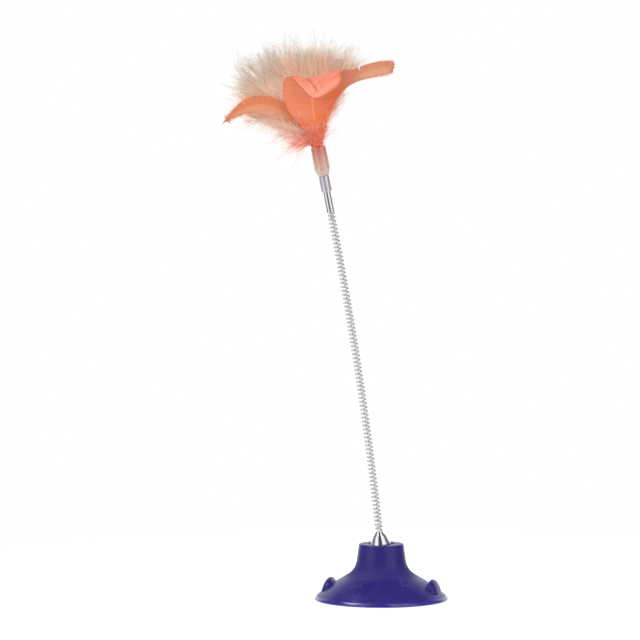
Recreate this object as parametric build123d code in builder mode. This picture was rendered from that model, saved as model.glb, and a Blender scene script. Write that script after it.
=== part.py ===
from build123d import *
import os
from math import cos, pi, radians, sin, sqrt

# Suction cup cat toy: a bunch of feathers on a long coil spring that stands on a suction cup.
# The spring leans to -X and bends a little more towards its top, as it does on the real toy.
# Frame: millimetres, +Z up, +X to the right, -Y towards the viewer.
# The origin is on the suction cup's axis, on the surface that the cup stands on.

os.makedirs("parts", exist_ok=True)

# Driving dimensions
# Suction cup, one soft moulding. Its upper outline is a table of radius and height shares.
cup_dia = 90.0
cup_height = 37.7
lip_height = 0.9
skirt_shares = [(0.86, 0.165), (0.682, 0.313), (0.5, 0.445), (0.387, 0.586)]
neck_dia = 30.4
neck_edge_chamfer = 0.5
contact_width = 2.6
dish_depth = 10.5
dish_shares = [(0.6, 0.66)]
recess_dia = 18.6
recess_depth = 0.6

# Release tabs, two arched lugs moulded on the skirt
tab_count = 2
tab_azimuth = -11.0
tab_rim_gap = 3.6
tab_foot_depth = 10.8
tab_bulge_inset = 1.2
tab_bulge_stand = 4.6
tab_top_inset = 3.2
tab_top_depth = 3.9
tab_stand = 6.5
tab_span = 24.0
tab_rise = 8.0
tab_arch_shares = [(0.8, 0.5), (0.42, 0.87)]
tab_edge_chamfer = 0.9

# Cone that screws on the stud, its seat in the neck and its peg in the spring
wand_lean = 6.2
root_offset = 0.45
seat_depth = 1.4
seat_clearance = 0.2
cone_height = 9.75
cone_foot_dia = 13.8
cone_foot_height = 1.3
cone_waist_dia = 11.0
cone_waist_height = 4.4
cone_shoulder_dia = 8.7
cone_shoulder_height = 6.9
cone_nose_dia = 4.6
peg_dia = 3.0
peg_length = 5.4
thread_dia = 5.0
thread_clearance = 0.1
thread_reach = 5.5
thread_hole_depth = 6.5

# Stud moulded into the neck
stud_length = 13.5
anchor_width = 11.0
anchor_height = 2.2
moulding_clearance = 0.05

# Spring, right-handed, wound open from end to end.
# Its round wire is drawn with three flats inside the round, which keeps 80 turns light.
wire_dia = 1.0
wire_side_count = 3
wire_flat_width = 0.62
coil_dia = 4.2
spring_pitch = 2.717
spring_turns = 80
spring_top_lean = 11.0
end_gap = 0.3
least_spring_gap = 0.4
gap_sample_count = 48
gap_turn_count = 4

# Sleeve, ferrule and feather tube on the spring's top
sleeve_dia = 5.1
sleeve_length = 14.2
ferrule_dia = 7.0
ferrule_length = 10.8
ferrule_edge_chamfer = 0.3
sleeve_insertion = 4.6
tube_insertion = 5.0
fit_clearance = 0.1
tube_dia = 10.4
tube_length = 20.0
tube_wall = 0.7
tube_taper_length = 5.0
glue_depth = 1.2
glue_clearance = 0.05

# Feathers: quills in a ring inside the tube, drawn as strips.
# A shaft is a table of shares of the feather's length, from its quill at the tube's mouth:
# (to the right, up) in the front view and (to the back, up) in the side view.
# The widths are shares of the largest width.
quill_ring_radius = 2.7
quill_width = 1.4
quill_gap = 0.1
vane_thickness = 0.8

front_feather_length = 48.0
front_feather_width = 43.0
front_feather_shaft_shares = [
    (0.0, 0.1),
    (0.03, 0.4),
    (0.06, 0.54),
    (0.1, 0.69),
    (0.15, 0.84),
    (0.17, 1.1),
]
front_feather_width_shares = [0.08, 0.32, 0.52, 0.77, 0.95, 1.0]
front_feather_curl_shares = [
    (-0.03, 0.17),
    (-0.09, 0.4),
    (-0.1, 0.69),
    (-0.13, 0.86),
    (-0.19, 0.96),
    (-0.28, 1.0),
    (-0.37, 0.96),
    (-0.43, 0.86),
    (-0.45, 0.72),
]

left_feather_length = 56.0
left_feather_width = 12.5
left_feather_shaft_shares = [
    (-0.05, 0.16),
    (-0.12, 0.29),
    (-0.24, 0.46),
    (-0.44, 0.6),
    (-0.63, 0.63),
    (-0.81, 0.6),
    (-1.0, 0.51),
]
left_feather_width_shares = [0.2, 0.35, 0.65, 1.0, 1.0, 0.75, 0.2]

right_feather_length = 60.0
right_feather_width = 11.0
right_feather_shaft_shares = [
    (0.04, 0.15),
    (0.11, 0.33),
    (0.22, 0.48),
    (0.44, 0.66),
    (0.74, 0.72),
    (1.0, 0.69),
]
right_feather_width_shares = [0.22, 0.5, 0.8, 1.0, 1.0, 0.4]

# Plumes: the closed outline of their down, straight to a tip that lies (right, back, up) of the quill
left_plume_tip = (-52.0, 16.0, 48.0)
upper_left_plume_tip = (-30.0, 34.0, 62.0)
centre_plume_tip = (2.0, 24.0, 70.0)
upper_right_plume_tip = (34.0, 24.0, 56.0)
plume_width = 22.0
plume_thickness = 17.0
plume_station_shares = [0.14, 0.4, 0.7, 0.9, 1.0]
plume_width_shares = [0.14, 0.5, 0.92, 0.95, 0.4]
plume_ribbons = 4

# The lower plume bends down over the tube's rim
lower_plume_rise = 5.0
lower_plume_tip = (-31.0, -6.0, 3.0)
lower_plume_width = 14.0
lower_plume_thickness = 6.0
lower_plume_station_shares = [0.3, 0.65, 1.0]
lower_plume_width_shares = [0.75, 1.0, 0.4]

# Worked out from the sizes above
overrun = cup_height
cup_radius = cup_dia / 2
seat_height = cup_height - seat_depth
wire_radius = wire_dia / 2
coil_radius = coil_dia / 2
spring_length = spring_pitch * spring_turns
spring_bend_radius = spring_length / radians(spring_top_lean - wand_lean)


def leaning_plane(origin, lean_degrees):
    """A plane square to an axis that leans to -X: its Z runs up that axis and its X to the right."""
    lean = radians(lean_degrees)
    return Plane(origin=origin, x_dir=(cos(lean), 0, sin(lean)), z_dir=(-sin(lean), 0, cos(lean)))


def side_view(plane):
    """The plane through the same axis, seen from the front: X to the right and Y up the axis."""
    return Plane(origin=plane.origin, x_dir=plane.x_dir, z_dir=(0, -1, 0))


def axis_of(plane):
    return Axis(plane.origin, plane.z_dir)


wand = leaning_plane((-root_offset, 0, seat_height), wand_lean)


# Stud: a threaded rod with a hexagonal anchor that the soft neck is moulded around
def stud_shape(clearance, top, mode):
    """The stud, or the hole that it leaves in what is moulded around it, up to a height over the seat."""
    foot = wand.offset(-stud_length - clearance)
    with BuildSketch(foot) as anchor:
        RegularPolygon(anchor_width / 2 + clearance, 6, major_radius=False)
    extrude(anchor.sketch, amount=anchor_height + 2 * clearance, mode=mode)
    with BuildSketch(foot) as rod:
        Circle(thread_dia / 2 + clearance)
    extrude(rod.sketch, amount=stud_length + clearance + top, mode=mode)


with BuildPart() as neck_stud:
    stud_shape(0, thread_reach, Mode.ADD)
neck_stud.part.label = "neck_stud"
export_step(neck_stud.part, "parts/neck_stud.step")

# The cup's upper and lower outlines, from its rim inwards, as points of radius and height
rim_inner = cup_radius - contact_width
skirt_outline = [(cup_radius, lip_height)]
skirt_outline += [(cup_radius * across, cup_height * up) for across, up in skirt_shares]
dish_outline = [(rim_inner, 0)]
dish_outline += [(rim_inner * across, dish_depth * up) for across, up in dish_shares]
dish_outline.append((0, dish_depth))


def height_at(outline, radius):
    """The height of an outline over a radius."""
    for (outer, low), (inner, high) in zip(outline, outline[1:]):
        if radius >= inner:
            break
    return low + (high - low) * (outer - radius) / (outer - inner)


def wall_middle(radius):
    """Half way up the cup's wall over a radius."""
    return (height_at(skirt_outline, radius) + height_at(dish_outline, radius)) / 2


# Release tab: a wedge that stands in the skirt's wall, cut to an arch along the rim, with soft edges.
# It is drawn as it stands on the +X side.
tab_outer_radius = cup_radius - tab_rim_gap
tab_inner_radius = tab_outer_radius - tab_foot_depth
tab_bulge_radius = tab_outer_radius - tab_bulge_inset
tab_top_radius = tab_outer_radius - tab_top_inset
tab_top = height_at(skirt_outline, tab_top_radius - tab_top_depth / 2) + tab_stand
with BuildPart() as tab:
    with BuildSketch(Plane.XZ):
        with BuildLine():
            Polyline(
                (tab_inner_radius, wall_middle(tab_inner_radius)),
                (tab_outer_radius, wall_middle(tab_outer_radius)),
                (tab_bulge_radius, height_at(skirt_outline, tab_bulge_radius) + tab_bulge_stand),
                (tab_top_radius, tab_top),
                (tab_top_radius - tab_top_depth, tab_top),
                close=True,
            )
        make_face()
    extrude(amount=tab_span / 2, both=True)
    with BuildSketch(Plane.YZ):
        with BuildLine():
            arch_foot = tab_top - tab_rise
            arch = [(tab_span / 2, 0), (tab_span / 2, arch_foot)]
            for along, up in tab_arch_shares:
                arch.append((tab_span / 2 * along, arch_foot + tab_rise * up))
            mirrored = [(-along, up) for along, up in reversed(arch)]
            Polyline(*arch, (0, tab_top), *mirrored, close=True)
        make_face()
    extrude(amount=cup_radius, mode=Mode.INTERSECT)
    arched_edges = tab.edges().filter_by(lambda edge: edge.center().Z > arch_foot)
    arched_edges = arched_edges.filter_by(Axis.X, reverse=True).filter_by(Axis.Y, reverse=True)
    chamfer(arched_edges, tab_edge_chamfer)

# Suction cup: neck, skirt, thin rim, hollow underside, cone seat and the two release tabs
with BuildPart() as suction_cup:
    with BuildSketch(Plane.XZ) as section:
        with BuildLine():
            neck_top = [(neck_dia / 2, cup_height), (0, cup_height)]
            Polyline(*reversed(dish_outline), (cup_radius, 0), *skirt_outline, *neck_top, close=True)
        make_face()
        neck_corner = section.vertices().sort_by_distance(Vector(neck_dia / 2, cup_height))[0]
        chamfer(neck_corner, neck_edge_chamfer)
    revolve(axis=Axis.Z)
    for turn in range(tab_count):
        add(tab.part.rotate(Axis.Z, tab_azimuth + turn * 360 / tab_count))
    with BuildSketch(Plane.XY.offset(cup_height - recess_depth)):
        Circle(recess_dia / 2)
    extrude(amount=overrun, mode=Mode.SUBTRACT)
    with BuildSketch(wand):
        Circle(cone_foot_dia / 2 + seat_clearance)
    extrude(amount=overrun, mode=Mode.SUBTRACT)
    stud_shape(moulding_clearance, 0, Mode.SUBTRACT)
suction_cup.part.label = "suction_cup"
export_step(suction_cup.part, "parts/suction_cup.step")

# Cone: a turned metal foot for the spring, threaded inside, with a peg that fills the lowest turns
with BuildPart() as cone:
    with BuildSketch(side_view(wand)):
        with BuildLine():
            Polyline(
                (0, 0),
                (cone_foot_dia / 2, 0),
                (cone_foot_dia / 2, cone_foot_height),
                (cone_waist_dia / 2, cone_waist_height),
                (cone_shoulder_dia / 2, cone_shoulder_height),
                (cone_nose_dia / 2, cone_height),
                (peg_dia / 2, cone_height),
                (peg_dia / 2, cone_height + peg_length),
                (0, cone_height + peg_length),
                close=True,
            )
        make_face()
    revolve(axis=axis_of(wand))
    with BuildSketch(wand):
        Circle(thread_dia / 2 + thread_clearance)
    extrude(amount=thread_hole_depth, mode=Mode.SUBTRACT)
cone.part.label = "cone"
export_step(cone.part, "parts/cone.step")

# Spring: one unbroken wire on a helix whose axis is an arc, so that the spring leans more at its top
spring_foot = wand.offset(cone_height + end_gap + wire_radius)


def spring_axis(length):
    """The point on the spring's curved axis at a length up from its foot, and the way to the right there."""
    lean = radians(wand_lean) + length / spring_bend_radius
    shift = Vector(cos(lean) - cos(radians(wand_lean)), 0, sin(lean) - sin(radians(wand_lean)))
    return spring_foot.origin + shift * spring_bend_radius, Vector(cos(lean), 0, sin(lean))


def wire_centre(turn):
    """The middle of the wire after some turns of the helix."""
    centre, right = spring_axis(spring_pitch * turn)
    angle = 2 * pi * turn
    return centre + (right * cos(angle) + Vector(0, 1, 0) * sin(angle)) * coil_radius


def wire_direction(turn):
    step = 0.0001
    return (wire_centre(turn + step) - wire_centre(turn - step)).normalized()


def biarc_joint(start, start_direction, end, end_direction):
    """Where two arcs that join two points with given directions meet, and their direction there."""
    chord = end - start
    both = start_direction + end_direction
    parting = 2 * (1 - start_direction.dot(end_direction))
    along = chord.dot(both)
    reach = (sqrt(along * along + parting * chord.dot(chord)) - along) / parting
    ahead = start + start_direction * reach
    behind = end - end_direction * reach
    return (ahead + behind) / 2, (behind - ahead).normalized()


def least_gap(samples_per_turn, turns):
    """The least room between the wire of one turn and that of the next, measured on points."""
    points = [wire_centre(i / samples_per_turn) for i in range(samples_per_turn * turns + 1)]
    far_apart = samples_per_turn // 2
    return min((a - b).length for i, a in enumerate(points) for b in points[i + far_apart :]) - wire_dia


with BuildPart() as spring:
    with BuildLine():
        for half_turn in range(spring_turns * 2):
            start = half_turn / 2
            end = (half_turn + 1) / 2
            ends = wire_centre(start), wire_direction(start), wire_centre(end), wire_direction(end)
            joint, joint_direction = biarc_joint(*ends)
            TangentArc(ends[0], joint, tangent=ends[1])
            TangentArc(joint, ends[2], tangent=joint_direction)
    with BuildSketch(Plane(origin=wire_centre(0), x_dir=wand.x_dir, z_dir=wire_direction(0))):
        RegularPolygon(wire_flat_width / (2 * sin(pi / wire_side_count)), wire_side_count)
    sweep(clean=False)
spring.part.label = "spring"
export_step(spring.part, "parts/spring.step")
turn_gap = least_gap(gap_sample_count, gap_turn_count)
print(f"spring: {spring_turns} turns, least gap between turns {turn_gap:.2f} mm")
assert turn_gap > least_spring_gap

# Sleeve: a plain pin over the spring's top, with a peg down into the turns
spring_top = spring_axis(spring_length)[0]
head = leaning_plane(spring_top, spring_top_lean).offset(wire_radius + end_gap)
with BuildPart() as sleeve:
    with BuildSketch(head.offset(-peg_length)):
        Circle(peg_dia / 2)
    extrude(amount=peg_length)
    with BuildSketch(head):
        Circle(sleeve_dia / 2)
    extrude(amount=sleeve_length + sleeve_insertion)
sleeve.part.label = "sleeve"
export_step(sleeve.part, "parts/sleeve.step")

# Ferrule: a short tube that joins the sleeve below to the feather tube above
ferrule_foot = head.offset(sleeve_length)
with BuildPart() as ferrule:
    with BuildSketch(ferrule_foot):
        Circle(ferrule_dia / 2)
        Circle(sleeve_dia / 2 + fit_clearance, mode=Mode.SUBTRACT)
    extrude(amount=ferrule_length)
    chamfer(ferrule.edges().filter_by(GeomType.CIRCLE).group_by(SortBy.RADIUS)[-1], ferrule_edge_chamfer)
ferrule.part.label = "ferrule"
export_step(ferrule.part, "parts/ferrule.step")

# Feather tube: clear vinyl, necked down into the ferrule
tube_foot = head.offset(sleeve_length + ferrule_length)
mouth = tube_foot.offset(tube_length)
spigot_radius = sleeve_dia / 2
spigot_bore = spigot_radius - tube_wall
tube_bore = tube_dia / 2 - tube_wall
with BuildPart() as feather_tube:
    with BuildSketch(side_view(tube_foot)):
        with BuildLine():
            Polyline(
                (spigot_radius, -tube_insertion),
                (spigot_radius, 0),
                (ferrule_dia / 2, 0),
                (tube_dia / 2, tube_taper_length),
                (tube_dia / 2, tube_length),
                (tube_bore, tube_length),
                (tube_bore, tube_taper_length),
                (spigot_bore, tube_taper_length),
                (spigot_bore, -tube_insertion),
                close=True,
            )
        make_face()
    revolve(axis=axis_of(tube_foot))
feather_tube.part.label = "feather_tube"
export_step(feather_tube.part, "parts/feather_tube.step")

# Glue plug: fills the tube's neck and covers its step, and the quills stand on it
glue_foot = tube_taper_length + glue_clearance
glue_top = glue_foot + glue_depth
with BuildPart() as glue_plug:
    with BuildSketch(tube_foot.offset(-tube_insertion)):
        Circle(spigot_bore - glue_clearance)
    extrude(amount=tube_insertion + glue_foot)
    with BuildSketch(tube_foot.offset(glue_foot)):
        Circle(tube_bore - glue_clearance)
    extrude(amount=glue_depth)
glue_plug.part.label = "glue_plug"
export_step(glue_plug.part, "parts/glue_plug.step")

# Feathers: quills stand on the glue plug. A vane is a thin plate cut to its outline,
# and a plume is what ribbons of its outline, turned about its shaft, have in common.
quill_foot_depth = tube_length - glue_top - quill_gap


def ring_place(ring_angle):
    """Where a quill stands on the ring, to the right and to the back. 0 is right and 90 is back."""
    return quill_ring_radius * cos(radians(ring_angle)), quill_ring_radius * sin(radians(ring_angle))


def scaled(shares, length):
    return [Vector(across, up) * length for across, up in shares]


def ribbon(points, widths):
    """The outline of a ribbon of changing width that follows points in a plane."""
    runs = [(b - a).normalized() for a, b in zip(points, points[1:])]
    middles = [(a + b).normalized() for a, b in zip(runs, runs[1:])]
    directions = [runs[0], *middles, runs[-1]]
    sides = [direction.rotate(Axis.Z, 90) * (width / 2) for direction, width in zip(directions, widths)]
    near = [point + side for point, side in zip(points, sides)]
    far = [point - side for point, side in zip(points, sides)]
    return [*near, *reversed(far)]


def vane(ring_angle, shaft, widths):
    """A flat vane with its quill, seen from the front, and cut out of a plate of the vane's thickness."""
    right, back = ring_place(ring_angle)
    quill = [Vector(0, -quill_foot_depth), Vector(0, 0)]
    quill_plane = Plane(mouth.from_local_coords(Vector(right, back, 0)), mouth.x_dir, mouth.z_dir)
    with BuildSketch(side_view(quill_plane)) as outline:
        with BuildLine():
            Polyline(*ribbon([*quill, *shaft], [quill_width, quill_width, *widths]), close=True)
        make_face()
    return outline.sketch


with BuildPart() as front_feather:
    front_quill = mouth.from_local_coords(Vector(*ring_place(-90), 0))
    with BuildSketch(Plane(origin=front_quill, x_dir=mouth.y_dir, z_dir=mouth.x_dir)):
        with BuildLine():
            quill = [Vector(0, -quill_foot_depth), Vector(0, 0)]
            curl = [*quill, *scaled(front_feather_curl_shares, front_feather_length)]
            Polyline(*ribbon(curl, [vane_thickness] * len(curl)), close=True)
        make_face()
    extrude(amount=front_feather_width, both=True)
    shaft = scaled(front_feather_shaft_shares, front_feather_length)
    outline = vane(-90, shaft, [front_feather_width * share for share in front_feather_width_shares])
    extrude(outline, amount=front_feather_length, both=True, mode=Mode.INTERSECT)
front_feather.part.label = "front_feather"
export_step(front_feather.part, "parts/front_feather.step")

with BuildPart() as left_feather:
    shaft = scaled(left_feather_shaft_shares, left_feather_length)
    outline = vane(180, shaft, [left_feather_width * share for share in left_feather_width_shares])
    extrude(outline, amount=vane_thickness / 2, both=True)
left_feather.part.label = "left_feather"
export_step(left_feather.part, "parts/left_feather.step")

with BuildPart() as right_feather:
    shaft = scaled(right_feather_shaft_shares, right_feather_length)
    outline = vane(-45, shaft, [right_feather_width * share for share in right_feather_width_shares])
    extrude(outline, amount=vane_thickness / 2, both=True)
right_feather.part.label = "right_feather"
export_step(right_feather.part, "parts/right_feather.step")


def plume(ring_angle, rise, tip, width, thickness, stations, widths):
    """A plume: its quill up to a rise over the mouth, then its down in a straight run to the tip."""
    local_quill = Vector(*ring_place(ring_angle), 0)
    quill_plane = Plane(mouth.from_local_coords(local_quill), mouth.x_dir, mouth.z_dir)
    start = quill_plane.from_local_coords(Vector(0, 0, rise))
    run = quill_plane.from_local_coords(Vector(0, 0, rise) + Vector(*tip)) - start
    across = Plane(start, run.cross(mouth.y_dir), run)
    with BuildPart() as shape:
        for turn in range(plume_ribbons):
            angle = pi * turn / plume_ribbons
            broad = sqrt((width * cos(angle)) ** 2 + (thickness * sin(angle)) ** 2)
            side = across.x_dir * cos(angle) + across.y_dir * sin(angle)
            with BuildSketch(Plane(start, side, side.cross(across.z_dir))):
                with BuildLine():
                    points = [Vector(0, run.length * station) for station in [0, *stations]]
                    breadths = [quill_width, *(broad * share for share in widths)]
                    Polyline(*ribbon(points, breadths), close=True)
                make_face()
            extrude(amount=width, both=True, mode=Mode.INTERSECT if turn else Mode.ADD)
        with BuildSketch(quill_plane.offset(-quill_foot_depth)):
            Rectangle(quill_width, vane_thickness)
        extrude(amount=quill_foot_depth + rise + vane_thickness)
    return shape.part


def straight_plume(ring_angle, tip):
    """A plume that leaves the tube's mouth straight to its tip."""
    return plume(ring_angle, 0, tip, plume_width, plume_thickness, plume_station_shares, plume_width_shares)


with BuildPart() as plume_left:
    add(straight_plume(135, left_plume_tip))
plume_left.part.label = "plume_left"
export_step(plume_left.part, "parts/plume_left.step")

with BuildPart() as plume_upper_left:
    add(straight_plume(90, upper_left_plume_tip))
plume_upper_left.part.label = "plume_upper_left"
export_step(plume_upper_left.part, "parts/plume_upper_left.step")

with BuildPart() as plume_centre:
    add(straight_plume(45, centre_plume_tip))
plume_centre.part.label = "plume_centre"
export_step(plume_centre.part, "parts/plume_centre.step")

with BuildPart() as plume_upper_right:
    add(straight_plume(0, upper_right_plume_tip))
plume_upper_right.part.label = "plume_upper_right"
export_step(plume_upper_right.part, "parts/plume_upper_right.step")

with BuildPart() as plume_lower:
    sizes = lower_plume_width, lower_plume_thickness, lower_plume_station_shares, lower_plume_width_shares
    add(plume(-135, lower_plume_rise, lower_plume_tip, *sizes))
plume_lower.part.label = "plume_lower"
export_step(plume_lower.part, "parts/plume_lower.step")
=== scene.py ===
# %% [markdown]
# # A suction cup cat toy, dressed for its picture
# The toy is a bunch of dyed feathers on a long coil spring, and the spring stands on a vinyl suction cup.
# The CAD model is loaded first and never moved. Each cell then dresses one of its pieces, or makes a
# finer one that stands for it, in metres and in the CAD model's own frame.

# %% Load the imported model
import math

import bmesh
import bpy
import numpy as np
from mathutils import Matrix, Vector


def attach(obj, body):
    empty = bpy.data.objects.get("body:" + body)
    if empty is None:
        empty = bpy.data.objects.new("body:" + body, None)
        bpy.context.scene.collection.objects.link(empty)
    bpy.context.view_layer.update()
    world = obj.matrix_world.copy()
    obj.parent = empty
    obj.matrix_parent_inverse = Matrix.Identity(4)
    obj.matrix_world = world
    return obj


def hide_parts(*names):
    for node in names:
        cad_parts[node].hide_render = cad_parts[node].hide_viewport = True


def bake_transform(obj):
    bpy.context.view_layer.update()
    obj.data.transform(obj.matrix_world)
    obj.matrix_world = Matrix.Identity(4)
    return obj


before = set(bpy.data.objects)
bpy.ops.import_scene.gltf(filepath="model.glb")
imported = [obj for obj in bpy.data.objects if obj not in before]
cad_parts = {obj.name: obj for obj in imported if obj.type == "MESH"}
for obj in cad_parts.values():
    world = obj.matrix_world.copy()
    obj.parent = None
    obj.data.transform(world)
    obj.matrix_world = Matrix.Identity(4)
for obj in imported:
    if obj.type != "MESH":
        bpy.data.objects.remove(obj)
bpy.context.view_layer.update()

mm = 0.001

# %% [markdown]
# ## The leaning wand
# The spring's axis is an arc: it leaves the cup leaning 6.2 degrees and arrives at the feathers leaning 11.
# Everything above the spring is counted from the feather tube's mouth, in three directions of its own:
# to the right, to the back and up the tube. Working in that small frame keeps the numbers readable.

# %% The wand's axis and the mouth of the feather tube
foot = Vector((-1.589, 0, 46.788)) * mm
foot_lean, top_lean = math.radians(6.2), math.radians(11.0)
spring_turns, spring_pitch = 80, 2.717 * mm
spring_length = spring_turns * spring_pitch
bend_radius = spring_length / (top_lean - foot_lean)
backwards = Vector((0, 1, 0))


def right_of(lean):
    return Vector((math.cos(lean), 0, math.sin(lean)))


def up_of(lean):
    return Vector((-math.sin(lean), 0, math.cos(lean)))


def wand_place(length):
    """The point on the spring's axis at a length up from its foot, and the lean there."""
    lean = foot_lean + length / bend_radius
    return foot + (right_of(lean) - right_of(foot_lean)) * bend_radius, lean


head_gap, head_length = 0.8, 45
head_foot = wand_place(spring_length)[0] + up_of(top_lean) * head_gap * mm
mouth = head_foot + up_of(top_lean) * head_length * mm


def at_mouth(right, back, up):
    """A point counted in millimetres from the middle of the tube's mouth."""
    return mouth + (right_of(top_lean) * right + backwards * back + up_of(top_lean) * up) * mm


print("mouth, mm:", [round(x / mm, 1) for x in mouth])

# %% [markdown]
# ## Nodes as formulas
# A material is easiest to read as a formula, such as `streaks * 0.3 + 0.2`. The small class below wraps a
# node's output so that Python's own operators add the Math nodes. Every other node comes from one method,
# which takes the node's type, its settings and what goes into its sockets.

# %% A node output that can be calculated with
class Output:
    """A node's output. Arithmetic on it adds Math nodes to its tree."""

    def __init__(self, recipe, socket):
        self.recipe, self.socket = recipe, socket

    def math(self, operation, *values):
        return self.recipe.node("ShaderNodeMath", {"operation": operation}, dict(enumerate(values)))

    def __add__(self, other):
        return self.math("ADD", self, other)

    def __sub__(self, other):
        return self.math("SUBTRACT", self, other)

    def __mul__(self, other):
        return self.math("MULTIPLY", self, other)


class Recipe:
    """A node tree and the one method that adds nodes to it."""

    def __init__(self, tree):
        self.tree = tree

    def feed(self, socket, value):
        if isinstance(value, Output):
            self.tree.links.new(value.socket, socket)
        else:
            socket.default_value = value

    def node(self, kind, settings=None, inputs=None, output=0):
        made = self.tree.nodes.new(kind)
        for name, value in (settings or {}).items():
            if name == "stops":
                elements = made.color_ramp.elements
                elements.remove(elements[1])
                elements[0].position, elements[0].color = value[0][0], (*value[0][1], 1)
                for place, colour in value[1:]:
                    elements.new(place).color = (*colour, 1)
            else:
                setattr(made, name, value)
        for name, value in (inputs or {}).items():
            self.feed(made.inputs[name], value)
        return Output(self, made.outputs[output])

    def noise(self, vector, scale, detail=2.0):
        return self.node("ShaderNodeTexNoise", None, {"Vector": vector, "Scale": scale, "Detail": detail})

    def mix(self, share, first, second):
        """One colour that turns into another as the share goes from 0 to 1."""
        settings = {"data_type": "RGBA", "clamp_factor": True}
        return self.node("ShaderNodeMix", settings, {0: share, 6: first, 7: second}, 2)

    def spread(self, value, low, high, to_low=0.0, to_high=1.0):
        """The value's way from low to high as a way from to_low to to_high, stopped at both ends."""
        return self.node("ShaderNodeMapRange", None, {0: value, 1: low, 2: high, 3: to_low, 4: to_high})

    def bump(self, height, strength, distance):
        inputs = {"Height": height, "Strength": strength, "Distance": distance}
        return self.node("ShaderNodeBump", None, inputs)


def paint(red, green, blue):
    """A colour as a screen shows it, 0 to 255, turned into the linear light that a shader takes."""
    def linear(value):
        share = value / 255
        return share / 12.92 if share <= 0.04045 else ((share + 0.055) / 1.055) ** 2.4
    return linear(red), linear(green), linear(blue), 1.0


def new_material(name, **constants):
    """A material whose one shader has the given constant sockets, and its recipe."""
    material = bpy.data.materials.new(name)
    material.use_nodes = True
    shader = material.node_tree.nodes["Principled BSDF"]
    for socket, value in constants.items():
        shader.inputs[socket.replace("_", " ")].default_value = value
    recipe = Recipe(material.node_tree)
    recipe.shader = shader
    return material, recipe


def object_place(recipe):
    return recipe.node("ShaderNodeTexCoord", None, None, "Object")


def axis_of(recipe, vector, axis):
    return recipe.node("ShaderNodeSeparateXYZ", None, {0: vector}, axis)


# %% [markdown]
# ## Camera, light and floor
# The photograph is a catalogue picture: a long lens that looks slightly down on the toy, and white all
# round. Matt surfaces get an even soft light. Glossy ones need something to mirror, so rays that come off
# them see a studio: a white backdrop behind, two tall soft boxes in front, and darkness between those. A
# small bright lamp high on the left is meant for the cup's lip, which mirrors it as a short bright line.

# %% Camera
look_down = 4.77
camera_data = bpy.data.cameras.new("camera")
camera_data.lens, camera_data.sensor_width = 301.2, 36.0
camera = bpy.data.objects.new("camera", camera_data)
camera.location = (-0.0415, -3.6, 0.49)
camera.rotation_euler = (math.radians(90 - look_down), 0, 0)
bpy.context.scene.collection.objects.link(camera)
bpy.context.scene.camera = camera
bpy.context.scene.view_settings.view_transform = "Standard"

# %% World
world = bpy.data.worlds.new("studio")
bpy.context.scene.world = world
world.use_nodes = True
studio = Recipe(world.node_tree)
direction = studio.node("ShaderNodeTexCoord", None, None, "Generated")
around = studio.node("ShaderNodeTexGradient", {"gradient_type": "RADIAL"}, {"Vector": direction}, 1)
dark, dim, dusk, grey, bright = 0.03, 0.12, 0.19, 0.22, 1.0
lamp_strength = 4.8


def round_stops(levels):
    """Ramp stops for grey levels at azimuths in degrees, counted to the right from the camera's side."""
    return [((azimuth + 90) / 360, (level,) * 3) for azimuth, level in levels]


low_stops = round_stops([(-90, grey), (-84, grey), (-74, bright), (-36, bright), (-30, dusk), (18, dusk),
                         (24, bright), (70, bright), (77, dusk), (130, dusk), (145, bright), (215, bright),
                         (235, grey), (270, grey)])
high_stops = round_stops([(-90, dim), (-74, bright), (-36, bright), (-30, dark), (18, dark), (24, bright),
                          (70, bright), (90, dim), (270, dim)])
low_ring, high_ring = (studio.node("ShaderNodeValToRGB", {"stops": stops}, {0: around})
                       for stops in (low_stops, high_stops))
height = axis_of(studio, direction, "Z")
mirrored = studio.mix(studio.spread(height, 0.45, 0.75), low_ring, high_ring)
lamp_stops = round_stops([(-90, 1.0), (-76, 1.0), (-70, 0.0), (240, 0.0), (246, 1.0), (270, 1.0)])
lamp_round = studio.node("ShaderNodeValToRGB", {"stops": lamp_stops}, {0: around})
lamp = lamp_round * studio.spread(height, 0.76, 0.8) * studio.spread(height, 0.93, 0.96, lamp_strength, 0.0)
mirrored = studio.node("ShaderNodeMix", {"data_type": "RGBA", "blend_type": "ADD"},
                       {0: 1.0, 6: mirrored, 7: lamp}, 2)
matt_light = (0.88, 0.88, 0.88, 1)
rays = [studio.node("ShaderNodeLightPath", None, None, kind) for kind in
        ("Is Camera Ray", "Is Glossy Ray", "Is Transmission Ray")]
seen = studio.mix(rays[1], matt_light, mirrored)
seen = studio.mix(rays[0].math("MAXIMUM", rays[0], rays[2]), seen, (1, 1, 1, 1))
studio.feed(world.node_tree.nodes["Background"].inputs["Color"], seen)

# %% Lamps
def soft_box(name, place, aim, size, watts):
    """A square lamp that faces the toy. Glossy surfaces see the world's boxes instead of it."""
    data = bpy.data.lights.new(name, "AREA")
    data.size, data.energy = size, watts
    lamp = bpy.data.objects.new(name, data)
    lamp.location = place
    lamp.rotation_euler = (Vector(aim) - Vector(place)).to_track_quat("-Z", "Y").to_euler()
    lamp.visible_glossy = False
    bpy.context.scene.collection.objects.link(lamp)


soft_box("key", (-0.9, -1.1, 1.0), (-0.04, 0, 0.25), 0.9, 5.5)
soft_box("fill", (1.0, -0.9, 0.7), (-0.04, 0, 0.2), 0.9, 3.0)

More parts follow.
